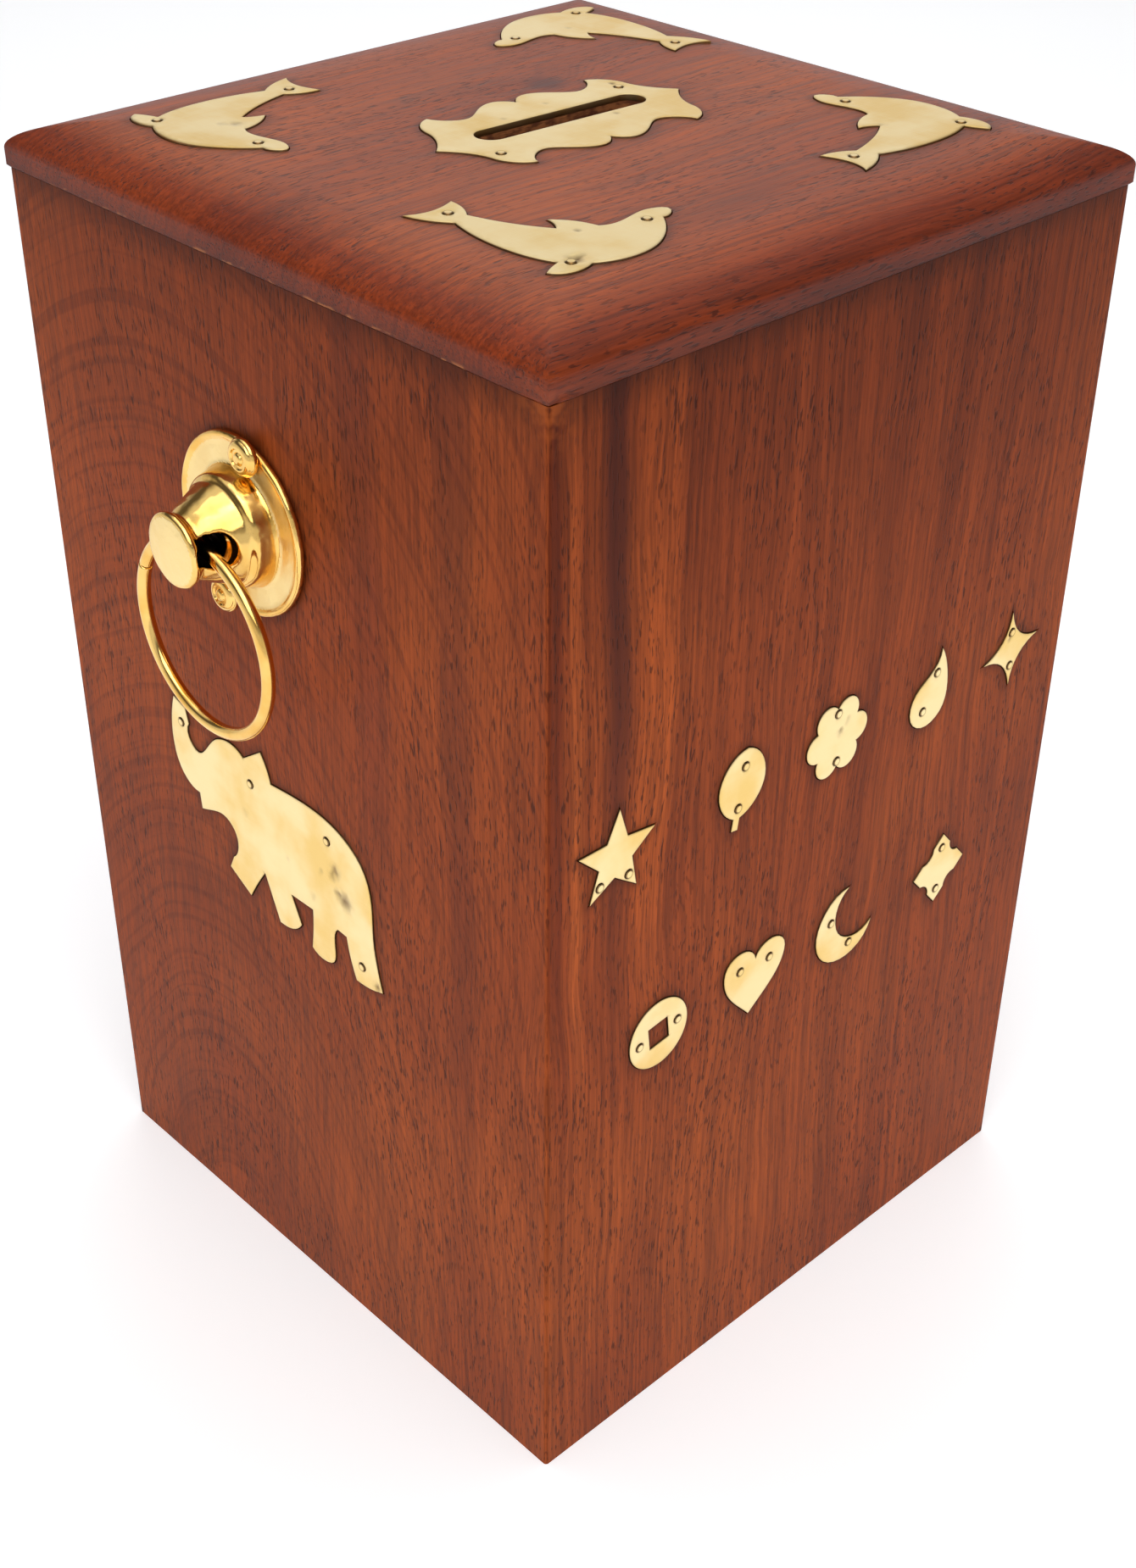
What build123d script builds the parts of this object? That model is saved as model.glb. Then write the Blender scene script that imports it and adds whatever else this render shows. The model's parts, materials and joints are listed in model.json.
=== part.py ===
"""A wooden money box: four mitred walls, a crowned lid with a coin slot, a screwed base,
brass inlays let into the wood, and a hinged brass ring pull on each side.

Millimetres. +Z is up and the origin is the centre of the bottom. The inlaid front faces -Y.
Every face has its own flat frame: local x runs along the face, local y up it, local z out of it.
"""
import os
from math import cos, radians, sin

from build123d import *

os.makedirs("parts", exist_ok=True)

# Driving dimensions of the wooden box
BODY_SIDE = 124.4
WALL_THICKNESS = 8.0
WALL_HEIGHT = 200.0
ARRIS_RADIUS = 0.7
LID_SIDE = 125.0
LID_EDGE = 3.0
CROWN_INSET = 16.0
CROWN_RISE = 4.7
LID_ARRIS = 0.35

BASE_THICKNESS = 6.0
BASE_RECESS = 2.0
BASE_GAP = 0.3
BLOCK_LEG = 16.0
BLOCK_HEIGHT = 14.0
SCREW_INSET = 5.5
SCREW_RADIUS = 1.4
SCREW_HEAD_RADIUS = 2.9
SCREW_LENGTH = 16.0
SCREW_POINT = 2.0
SCREW_CROSS = (3.4, 0.7)
SCREW_CROSS_DEPTH = 1.2

# Coin slot, turned a little out of square as on a hand-made lid
SLOT_LENGTH = 34.0
SLOT_WIDTH = 5.4
SLOT_CENTRE = (2.25, 3.7)
SLOT_TURN = -2.4
PLATE_CENTRE = (1.55, 2.85)

# Brass inlays. A cut starts this far above the face it is made in.
CUT_LEAD = 1.0
INLAY_THICKNESS = 1.1
POCKET_DEPTH = 0.8
POCKET_GAP = 0.2
PIN_RADIUS = 0.75
PIN_EYE = 0.12
PIN_LENGTH = 5.0
PIN_PROUD = 0.12
FACETS_PER_POINT = 4

# Ring pulls, in each side's own frame
PULL_CENTRE = (-5.4, 158.7)
FLANGE_RADIUS = 15.0
NAIL_CIRCLE = 13.6
RIM_HEIGHT = 1.4
NAIL_LEAN = 17.0
NAIL_RADIUS = 0.9
NAIL_EYE = 0.1
NAIL_HEAD_RADIUS = 3.1
NAIL_HEAD_SEAT = 1.45
NAIL_HEAD_TOP = 3.5
NAIL_DEPTH = 6.5
NAIL_POINT = 1.0
BOSS_HEIGHT = 14.1
HINGE_STANDOFF = 9.8
HINGE_LIFT = 0.6
HINGE_HOLE_RADIUS = 2.7
HINGE_HOLE_LENGTH = 9.8
HINGE_MOUTH_RADIUS = 3.3
RING_RADIUS = 16.1
RING_WIRE_RADIUS = 1.1
RING_SHIFT = 0.8
RING_SAG = 0.35
RING_GAP_ANGLE = 0.9
RING_GAP_TURN = 64.5
RING_END_EASE = 0.33

BODY_HALF = BODY_SIDE / 2
INNER_HALF = BODY_HALF - WALL_THICKNESS
LID_HALF = LID_SIDE / 2
LID_TOP = WALL_HEIGHT + LID_EDGE + CROWN_RISE
BASE_TOP = BASE_RECESS + BASE_THICKNESS
FLAT_HALF = LID_HALF - CROWN_INSET

TOP_FACE = Plane.XY.offset(LID_TOP)
FRONT_FACE = Plane((0, -BODY_HALF, 0), x_dir=(1, 0, 0), z_dir=(0, -1, 0))
LEFT_FACE = Plane((-BODY_HALF, 0, 0), x_dir=(0, -1, 0), z_dir=(-1, 0, 0))
RIGHT_FACE = Plane((BODY_HALF, 0, 0), x_dir=(0, 1, 0), z_dir=(1, 0, 0))


def save(part, name):
    """Label a finished piece and write it as its own file."""
    part.label = name
    export_step(part, f"parts/{name}.step")


def draw_runs(start, runs):
    """Draw an outline from run to run: one point is a straight edge, more are a smooth curve.

    A curve is drawn as short facets along a guide, so that it offsets cleanly into its pocket.
    """
    here = start
    for run in runs:
        if len(run) == 1:
            Line(here, run[0])
        else:
            guide = Spline(here, *run, mode=Mode.PRIVATE)
            steps = FACETS_PER_POINT * len(run)
            Polyline(*[guide @ (i / steps) for i in range(steps + 1)])
        here = run[-1]


def turned(point, centre, angle):
    """A local point carried to a centre and turned about it, in degrees."""
    x = centre[0] + point[0] * cos(radians(angle)) - point[1] * sin(radians(angle))
    y = centre[1] + point[0] * sin(radians(angle)) + point[1] * cos(radians(angle))
    return (x, y)


# ---------------------------------------------------------------- inlay outlines

DOLPHIN_START = (-13.3, 17.6)
DOLPHIN_RUNS = [
    [(-11, 16.6), (-8.6, 16.4), (-6.5, 16.8), (-4.4, 17.6)],
    [(-4.9, 14.6), (-6.5, 11.8)],
    [(-5.5, 8.4), (-3.7, 4), (-1, -0.5)],
    [(0, 1), (0.5, 2.9)],
    [(2.9, 0), (4.1, -3.6)],
    [(10, -3.8), (14.8, -3.6), (16.4, -5), (15.3, -6.6), (13.2, -7.1)],
    [(11, -9.8), (8, -12.4), (4, -14.5), (-0.5, -15.1), (-4.5, -14.3), (-6.5, -13.3)],
    [(-9.5, -14.1), (-12, -13.6), (-13.5, -11.9)],
    [(-11.8, -10.9), (-9.8, -10.1)],
    [(-10.9, -7), (-11.6, 0), (-11, 6), (-9.8, 10.5)],
    [(-12, 13.7), (-13.3, 17.6)],
]
DOLPHIN_PINS = [(10.9, -6.2), (-8, 14.1), (-8.4, -11.2)]

ELEPHANT_START = (-31, 116.2)
ELEPHANT_RUNS = [
    [(-32.2, 112), (-32.5, 107), (-31, 101.6), (-28.3, 99.2), (-25.9, 98.8)],
    [(-25.6, 95.6)],
    [(-22, 96.9), (-18.7, 97.4), (-16, 95.4), (-15.5, 92.6), (-17.2, 89.6)],
    [(-18.5, 86.9)],
    [(-12.9, 83.6)],
    [(-10.6, 87.4), (-8.1, 91)],
    [(-6.5, 87), (-4.7, 82.4)],
    [(0.3, 83.8), (1.5, 85.2)],
    [(-0.8, 90.4)],
    [(5.1, 90.5)],
    [(4.8, 86.2), (4.2, 82.1)],
    [(8.6, 81.3), (9.8, 81.9), (10.6, 86), (11.7, 90)],
    [(14, 89.8)],
    [(15.1, 84.6), (16.1, 81.9)],
    [(19.4, 82.1), (22.9, 83.1)],
    [(21.9, 87.3), (21.1, 93), (21.1, 100), (19.4, 106.1), (15.1, 109.8), (7.5, 111.7), (-4.3, 111.1)],
    [(-5.2, 113.9), (-6.6, 116.3)],
    [(-11.7, 112.7)],
    [(-15, 114), (-19.5, 112.7), (-22.5, 109.4), (-25.2, 107.5), (-27.3, 109), (-27.2, 112.3)],
    [(-27.9, 115.2)],
    [(-31, 116.2)],
]
ELEPHANT_PINS = [(-29.4, 111.7), (-10.2, 108.3), (10.2, 107.2), (17.8, 85.7)]

PLATE_TIP = (25, 0)
PLATE_RUNS = [
    [(22.9, 2.4), (21.4, 5), (20.6, 8.3)],
    [(19.9, 10.4), (18.5, 12.2), (16.4, 13.4)],
    [(15, 11), (11.5, 9.4), (8.2, 11.3), (4, 13.6), (0, 11.2)],
]
PLATE_PINS = [(-18.2, -7), (18.2, 7)]


def dolphin_outline():
    with BuildLine() as curve:
        draw_runs(DOLPHIN_START, DOLPHIN_RUNS)
    make_face(curve.edges())


def elephant_outline():
    with BuildLine() as curve:
        draw_runs(ELEPHANT_START, ELEPHANT_RUNS)
    make_face(curve.edges())


def slot_plate_outline():
    """One quarter of the escutcheon, mirrored to the other three."""
    with BuildLine() as curve:
        draw_runs(PLATE_TIP, PLATE_RUNS)
        mirror(about=Plane.YZ)
        mirror(about=Plane.XZ)
    make_face(curve.edges())


def star_outline():
    tips = [turned((8.2, 0), (0, 0), 90 + 72 * i) for i in range(5)]
    notches = [turned((3.6, 0), (0, 0), 126 + 72 * i) for i in range(5)]
    with BuildLine() as curve:
        Polyline(*[point for pair in zip(tips, notches) for point in pair], close=True)
    make_face(curve.edges())


def leaf_outline():
    with BuildLine() as curve:
        draw_runs((0, 7.4), [[(4.5, 4), (5.2, 0.6), (3.6, -3), (0.7, -5)], [(0.7, -7.2)], [(0, -7.2)]])
        mirror(about=Plane.YZ)
    make_face(curve.edges())


def flower_outline():
    Circle(3.6)
    with PolarLocations(4.6, 6):
        Circle(2.7)


def drop_outline():
    tip = (1.8, 7.4)
    round_run = [(-0.4, 3.2), (-4.2, 0), (-4.6, -4), (-0.6, -6.9), (3.8, -4.8), (4.6, -0.5), tip]
    with BuildLine() as curve:
        draw_runs(tip, [round_run])
    make_face(curve.edges())


def four_point_outline():
    with BuildLine() as curve:
        for turn in range(0, 360, 90):
            tip = turned((7.4, 0), (0, 0), turn)
            waist = turned((3.3, 0), (0, 0), turn + 45)
            draw_runs(tip, [[waist, turned(tip, (0, 0), 90)]])
    make_face(curve.edges())


def coin_outline():
    Circle(6.5)
    Rectangle(4.4, 4.4, mode=Mode.SUBTRACT)


def heart_outline():
    with BuildLine() as curve:
        draw_runs((0, 3.8), [[(1.6, 5.8), (4.4, 6.3), (7, 4.6), (7.2, 1.4), (4.6, -3), (0, -7.4)]])
        mirror(about=Plane.YZ)
    make_face(curve.edges())


def crescent_outline():
    outer = [(-4.9, 5.8), (-7.6, 0), (-5.4, -5.4), (0, -7.6), (6.9, -3.1)]
    inner = [(1.3, -3.8), (-1.9, -1.1), (-2.4, 4.1), (0.7, 7.6)]
    with BuildLine() as curve:
        draw_runs((0.7, 7.6), [outer, inner])
    make_face(curve.edges())


def lozenge_outline():
    with BuildLine() as curve:
        Polyline((7, 0), (0, 7.2), (-7, 0), (0, -7.2), close=True)
    make_face(curve.edges())
    with PolarLocations(6.6, 4, start_angle=45):
        Circle(2.4, mode=Mode.SUBTRACT)


# name, outline, place on the front, turn, pins
MOTIFS = [
    ("star_inlay", star_outline, (-48.6, 125), -4, [(-3, -4.2), (3, -4.2)]),
    ("leaf_inlay", leaf_outline, (-21.6, 124.3), -9, [(0, 4.2), (0, -3.2)]),
    ("flower_inlay", flower_outline, (1, 124), 3, [(0, 4.6), (0, -4.6)]),
    ("drop_inlay", drop_outline, (24.8, 122.9), -3, [(-1.4, -3.6), (1.2, 3)]),
    ("four_point_inlay", four_point_outline, (46.9, 122.1), 5, [(0, 3.4), (0, -3.4)]),
    ("coin_inlay", coin_outline, (-38, 85.1), 7, [(-4.3, 0), (4.3, 0)]),
    ("heart_inlay", heart_outline, (-15.7, 84.2), -5, [(-3.6, 2.6), (3.6, 2.6)]),
    ("crescent_inlay", crescent_outline, (7.9, 83), 4, [(-3.8, 2.2), (1, -4.8)]),
    ("lozenge_inlay", lozenge_outline, (33.7, 81.9), -3, [(0, 4.4), (0, -4.4)]),
]

# name, place on the lid, turn
DOLPHINS = [
    ("dolphin_front_left", (-32, -32), 0),
    ("dolphin_front_right", (35.3, -31.8), 90),
    ("dolphin_back_right", (37.9, 35.4), 180),
    ("dolphin_back_left", (-34.5, 35.9), 270),
]


def placed_sketch(outline, face, depth, centre, angle, grow=0):
    """An inlay's outline on a face, sunk by depth, and grown outwards by a gap."""
    origin = face.from_local_coords((centre[0], centre[1], -depth))
    across = face.x_dir * cos(radians(angle)) + face.y_dir * sin(radians(angle))
    with BuildSketch(Plane(origin, x_dir=across, z_dir=face.z_dir)) as sketch:
        outline()
        if grow:
            offset(amount=grow, kind=Kind.INTERSECTION)
    return sketch.sketch


def cut_pocket(outline, face, centre=(0, 0), angle=0):
    """Cut the shallow pocket of one inlay into the board being built."""
    add(placed_sketch(outline, face, POCKET_DEPTH, centre, angle, POCKET_GAP))
    extrude(amount=POCKET_DEPTH + CUT_LEAD, dir=face.z_dir, mode=Mode.SUBTRACT)


def cut_blind_holes(face, points, radius, depth):
    """Drill the holes that the pins or nails of one face are driven into."""
    with BuildSketch(face.offset(-depth)) as holes:
        with Locations(*points):
            Circle(radius)
    extrude(holes.sketch, amount=depth + CUT_LEAD, dir=face.z_dir, mode=Mode.SUBTRACT)


def make_inlay(outline, face, centre=(0, 0), angle=0, points=()):
    """A flat brass inlay, a little proud of the wood, with its pin holes."""
    with BuildPart() as inlay:
        add(placed_sketch(outline, face, POCKET_DEPTH, centre, angle))
        extrude(amount=INLAY_THICKNESS, dir=face.z_dir)
        with BuildSketch(face.offset(-POCKET_DEPTH)):
            with Locations(*points):
                Circle(PIN_RADIUS + PIN_EYE)
        extrude(amount=INLAY_THICKNESS, dir=face.z_dir, mode=Mode.SUBTRACT)
    return inlay


def save_pins(name, face, points):
    """Make every pin of one face, each a separate solid with its rim eased."""
    with BuildPart() as pins:
        with BuildSketch(face.offset(-PIN_LENGTH)):
            with Locations(*points):
                Circle(PIN_RADIUS)
        extrude(amount=PIN_LENGTH - POCKET_DEPTH + INLAY_THICKNESS + PIN_PROUD, dir=face.z_dir)
        heads = pins.faces().group_by(Axis((0, 0, 0), face.z_dir))[-1]
        chamfer(heads.edges(), PIN_PROUD)
    save(pins.part, name)


def turned_all(points, centre, angle):
    return [turned(point, centre, angle) for point in points]


SLOT_PLATE_PINS = turned_all(PLATE_PINS, PLATE_CENTRE, SLOT_TURN)
TOP_PINS = list(SLOT_PLATE_PINS)
for _, spot, angle in DOLPHINS:
    TOP_PINS += turned_all(DOLPHIN_PINS, spot, angle)

FRONT_PINS = []
for _, _, spot, angle, pins in MOTIFS:
    FRONT_PINS += turned_all(pins, spot, angle)

lean = radians(NAIL_LEAN)
NAIL_OFFSET = (NAIL_CIRCLE * sin(lean), NAIL_CIRCLE * cos(lean))
NAILS = [
    (PULL_CENTRE[0] + NAIL_OFFSET[0], PULL_CENTRE[1] + NAIL_OFFSET[1]),
    (PULL_CENTRE[0] - NAIL_OFFSET[0], PULL_CENTRE[1] - NAIL_OFFSET[1]),
]


# ---------------------------------------------------------------- walls

def wall_outline(turn):
    """A wall's plan, mitred at both ends, for the wall that faces -Y before it is turned."""
    outer = BODY_HALF
    inner = INNER_HALF
    corners = [(-outer, -outer), (outer, -outer), (inner, -inner), (-inner, -inner)]
    with BuildLine() as curve:
        Polyline(*[turned(corner, (0, 0), turn) for corner in corners], close=True)
    make_face(curve.edges())


def raise_wall(turn):
    """Extrude one mitred wall and ease the arrises it shares with its neighbours."""
    with BuildSketch() as plan:
        wall_outline(turn)
        RectangleRounded(BODY_SIDE, BODY_SIDE, ARRIS_RADIUS, mode=Mode.INTERSECT)
    extrude(plan.sketch, amount=WALL_HEIGHT)


with BuildPart() as front_board:
    raise_wall(0)
    for _, motif, spot, angle, _ in MOTIFS:
        cut_pocket(motif, FRONT_FACE, spot, angle)
    cut_blind_holes(FRONT_FACE, FRONT_PINS, PIN_RADIUS, PIN_LENGTH)
save(front_board.part, "front_board")

with BuildPart() as back_board:
    raise_wall(180)
save(back_board.part, "back_board")

for side, face, turn in [("left", LEFT_FACE, 270), ("right", RIGHT_FACE, 90)]:
    with BuildPart() as side_board:
        raise_wall(turn)
        cut_pocket(elephant_outline, face)
        cut_blind_holes(face, ELEPHANT_PINS, PIN_RADIUS, PIN_LENGTH)
        cut_blind_holes(face, NAILS, NAIL_RADIUS, NAIL_DEPTH)
    save(side_board.part, f"{side}_board")


# ---------------------------------------------------------------- lid

def crown_outline():
    """The lid's cross-section: a low upright edge, then a quarter of an ellipse up to the flat."""
    edge_top = WALL_HEIGHT + LID_EDGE
    with BuildLine() as curve:
        Polyline(
            (0, WALL_HEIGHT),
            (LID_HALF - LID_ARRIS, WALL_HEIGHT),
            (LID_HALF, WALL_HEIGHT + LID_ARRIS),
            (LID_HALF, edge_top),
        )
        EllipticalCenterArc((FLAT_HALF, edge_top), CROWN_INSET, CROWN_RISE, start_angle=0, arc_size=90)
        Line((FLAT_HALF, LID_TOP), (0, LID_TOP))
        mirror(about=Plane.YZ)
    make_face(curve.edges())


def slot_outline():
    SlotOverall(SLOT_LENGTH, SLOT_WIDTH)


with BuildPart() as lid_board:
    with BuildSketch(Plane.XZ):
        crown_outline()
    extrude(amount=LID_HALF, both=True)
    with BuildSketch(Plane.YZ):
        crown_outline()
    extrude(amount=LID_HALF, both=True, mode=Mode.INTERSECT)
    cut_pocket(slot_plate_outline, TOP_FACE, PLATE_CENTRE, SLOT_TURN)
    for _, spot, angle in DOLPHINS:
        cut_pocket(dolphin_outline, TOP_FACE, spot, angle)
    cut_blind_holes(TOP_FACE, TOP_PINS, PIN_RADIUS, PIN_LENGTH)
    add(placed_sketch(slot_outline, TOP_FACE, 0, SLOT_CENTRE, SLOT_TURN))
    extrude(amount=LID_TOP - WALL_HEIGHT, dir=(0, 0, -1), mode=Mode.SUBTRACT)
save(lid_board.part, "lid_board")


# ---------------------------------------------------------------- inlays and their pins

slot_plate = make_inlay(slot_plate_outline, TOP_FACE, PLATE_CENTRE, SLOT_TURN, SLOT_PLATE_PINS)
with slot_plate:
    add(placed_sketch(slot_outline, TOP_FACE, POCKET_DEPTH, SLOT_CENTRE, SLOT_TURN))
    extrude(amount=INLAY_THICKNESS, dir=(0, 0, 1), mode=Mode.SUBTRACT)
save(slot_plate.part, "slot_plate")

for name, spot, angle in DOLPHINS:
    points = turned_all(DOLPHIN_PINS, spot, angle)
    save(make_inlay(dolphin_outline, TOP_FACE, spot, angle, points).part, name)

for name, motif, spot, angle, pins in MOTIFS:
    points = turned_all(pins, spot, angle)
    save(make_inlay(motif, FRONT_FACE, spot, angle, points).part, name)

for name, face in [("elephant_left", LEFT_FACE), ("elephant_right", RIGHT_FACE)]:
    save(make_inlay(elephant_outline, face, points=ELEPHANT_PINS).part, name)

save_pins("top_inlay_pins", TOP_FACE, TOP_PINS)
save_pins("front_inlay_pins", FRONT_FACE, FRONT_PINS)
save_pins("left_inlay_pins", LEFT_FACE, ELEPHANT_PINS)
save_pins("right_inlay_pins", RIGHT_FACE, ELEPHANT_PINS)


# ---------------------------------------------------------------- base, corner blocks and screws

CORNERS = {
    "front_left": (-1, -1),
    "front_right": (1, -1),
    "back_right": (1, 1),
    "back_left": (-1, 1),
}
SCREW_HALF = INNER_HALF - SCREW_INSET
SCREW_SPOTS = [(x * SCREW_HALF, y * SCREW_HALF) for x, y in CORNERS.values()]

with BuildPart() as base_board:
    base_side = 2 * (INNER_HALF - BASE_GAP)
    with BuildSketch(Plane.XY.offset(BASE_RECESS)):
        Rectangle(base_side, base_side)
    extrude(amount=BASE_THICKNESS)
    with Locations(Plane.XY.offset(BASE_RECESS).rotated((180, 0, 0))):
        with Locations(*SCREW_SPOTS):
            CounterSinkHole(SCREW_RADIUS, SCREW_HEAD_RADIUS)
save(base_board.part, "base_board")

for corner, (x, y) in CORNERS.items():
    with BuildPart() as corner_block:
        with BuildSketch(Plane.XY.offset(BASE_TOP)):
            with BuildLine():
                Polyline(
                    (x * INNER_HALF, y * INNER_HALF),
                    (x * (INNER_HALF - BLOCK_LEG), y * INNER_HALF),
                    (x * INNER_HALF, y * (INNER_HALF - BLOCK_LEG)),
                    close=True,
                )
            make_face()
        extrude(amount=BLOCK_HEIGHT)
        with BuildSketch(Plane.XY.offset(BASE_TOP)):
            with Locations((x * SCREW_HALF, y * SCREW_HALF)):
                Circle(SCREW_RADIUS)
        extrude(amount=SCREW_LENGTH - BASE_THICKNESS, mode=Mode.SUBTRACT)
    save(corner_block.part, f"corner_block_{corner}")

with BuildPart() as base_screws:
    for spot in SCREW_SPOTS:
        with BuildSketch(Plane((spot[0], spot[1], BASE_RECESS), x_dir=(1, 0, 0), z_dir=(0, -1, 0))):
            with BuildLine():
                Polyline(
                    (0, 0),
                    (SCREW_HEAD_RADIUS, 0),
                    (SCREW_RADIUS, SCREW_HEAD_RADIUS - SCREW_RADIUS),
                    (SCREW_RADIUS, SCREW_LENGTH - SCREW_POINT),
                    (0, SCREW_LENGTH),
                    close=True,
                )
            make_face()
        revolve(axis=Axis((spot[0], spot[1], 0), (0, 0, 1)))
        with BuildSketch(Plane.XY.offset(BASE_RECESS)):
            with Locations(spot):
                Rectangle(*SCREW_CROSS)
                Rectangle(*reversed(SCREW_CROSS))
        extrude(amount=SCREW_CROSS_DEPTH, mode=Mode.SUBTRACT)
save(base_screws.part, "base_screws")


# ---------------------------------------------------------------- ring pulls

def face_point(face, point, height=0):
    return face.from_local_coords((point[0], point[1], height))


def section_plane(face, point, height=0, turn=0):
    """A plane through the face's normal at a point: local y runs out of the face."""
    radial = face.x_dir * cos(radians(turn)) + face.y_dir * sin(radians(turn))
    return Plane(face_point(face, point, height), x_dir=radial, z_dir=radial.cross(face.z_dir))


def boss_outline():
    """Half the turned section: a flange with a raised rim, a stepped bell, a neck and a blunt tip."""
    with BuildLine() as curve:
        Polyline((0, 0), (FLANGE_RADIUS, 0), (FLANGE_RADIUS, 0.7))
        ThreePointArc((FLANGE_RADIUS, 0.7), (14.7, 1.3), (14.2, RIM_HEIGHT))
        Polyline((14.2, RIM_HEIGHT), (13.4, 0.9), (10.4, 0.9))
        ThreePointArc((10.4, 0.9), (9.9, 1.1), (9.7, 1.6))
        Line((9.7, 1.6), (9.2, 3.9))
        ThreePointArc((9.2, 3.9), (8.9, 4.5), (8.4, 4.8))
        Polyline((8.4, 4.8), (8.1, 4.9), (8.1, 5.3))
        Spline((8.1, 5.3), (7.2, 7.3), (6, 9.8), (5.1, 11.2))
        Spline((5.1, 11.2), (5.1, 11.8), (6, 12.6))
        ThreePointArc((6, 12.6), (6, 13.4), (5.3, 13.8))
        ThreePointArc((5.3, 13.8), (3.2, 14), (1, BOSS_HEIGHT))
        Polyline((1, BOSS_HEIGHT), (0, BOSS_HEIGHT), (0, 0))
    make_face(curve.edges())


def hinge_hole_outline():
    """Half the section along the hinge hole, with a flared mouth at each end."""
    half_straight = HINGE_HOLE_LENGTH / 2
    half_flare = half_straight + HINGE_MOUTH_RADIUS - HINGE_HOLE_RADIUS
    with BuildLine() as curve:
        Polyline(
            (0, 0),
            (0, HINGE_HOLE_RADIUS),
            (half_straight, HINGE_HOLE_RADIUS),
            (half_flare, HINGE_MOUTH_RADIUS),
            (FLANGE_RADIUS, HINGE_MOUTH_RADIUS),
            (FLANGE_RADIUS, 0),
            close=True,
        )
        mirror(about=Plane.YZ)
    make_face(curve.edges())


def nail_outline():
    """Half a turned nail: a shank, and a ringed head that sits on the flange's rim."""
    shoulder = NAIL_HEAD_RADIUS - 0.4
    crown = (NAIL_HEAD_RADIUS - 0.3, 2.7)
    with BuildLine() as curve:
        Polyline(
            (0, -NAIL_DEPTH),
            (NAIL_RADIUS, NAIL_POINT - NAIL_DEPTH),
            (NAIL_RADIUS, NAIL_HEAD_SEAT),
            (shoulder, NAIL_HEAD_SEAT),
        )
        ThreePointArc((shoulder, NAIL_HEAD_SEAT), (NAIL_HEAD_RADIUS, 2), crown)
        ThreePointArc(crown, (2.3, 3.2), (1.7, 3.3))
        Polyline((1.7, 3.3), (1.5, 3.05), (1.1, 3.05), (0.9, 3.3))
        ThreePointArc((0.9, 3.3), (0.7, 3.45), (0.4, NAIL_HEAD_TOP))
        Polyline((0.4, NAIL_HEAD_TOP), (0, NAIL_HEAD_TOP), (0, -NAIL_DEPTH))
    make_face(curve.edges())


HINGE_POINT = (PULL_CENTRE[0], PULL_CENTRE[1] + HINGE_LIFT)
RING_CENTRE = (PULL_CENTRE[0] + RING_SHIFT, HINGE_POINT[1] - RING_SAG - RING_RADIUS)

for side, face in [("left", LEFT_FACE), ("right", RIGHT_FACE)]:
    with BuildPart() as pull_boss:
        with BuildSketch(section_plane(face, PULL_CENTRE)):
            boss_outline()
        revolve(axis=Axis(face_point(face, PULL_CENTRE), face.z_dir))
        hinge_centre = face_point(face, HINGE_POINT, HINGE_STANDOFF)
        with BuildSketch(Plane(hinge_centre, x_dir=face.x_dir, z_dir=face.x_dir.cross(face.y_dir))):
            hinge_hole_outline()
        revolve(axis=Axis(hinge_centre, face.x_dir), mode=Mode.SUBTRACT)
        with BuildSketch(face):
            with Locations(*NAILS):
                Circle(NAIL_RADIUS + NAIL_EYE)
        extrude(amount=RIM_HEIGHT + CUT_LEAD, dir=face.z_dir, mode=Mode.SUBTRACT)
    save(pull_boss.part, f"{side}_pull_boss")

    with BuildPart() as pull_ring:
        with BuildSketch(section_plane(face, RING_CENTRE, HINGE_STANDOFF, 90 + RING_GAP_TURN)):
            with Locations((RING_RADIUS, 0)):
                Circle(RING_WIRE_RADIUS)
        ring_axis = Axis(face_point(face, RING_CENTRE, HINGE_STANDOFF), face.z_dir)
        revolve(axis=ring_axis, revolution_arc=360 - RING_GAP_ANGLE)
        fillet(pull_ring.faces().filter_by(GeomType.PLANE).edges(), RING_END_EASE)
    save(pull_ring.part, f"{side}_pull_ring")

    with BuildPart() as pull_nails:
        for nail in NAILS:
            with BuildSketch(section_plane(face, nail)):
                nail_outline()
            revolve(axis=Axis(face_point(face, nail), face.z_dir))
    save(pull_nails.part, f"{side}_pull_nails")
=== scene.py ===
"""A wooden money box with brass inlays and ring pulls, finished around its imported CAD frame.

Metres, +Z up, the inlaid front faces -Y. Every flat side has its own frame: local x runs along
the side, local y up it and local z out of it.
"""
import json
import math

import bmesh
import bpy
import numpy as np
from mathutils import Matrix, Vector, noise
from mathutils.geometry import delaunay_2d_cdt
from mathutils.kdtree import KDTree


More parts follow.
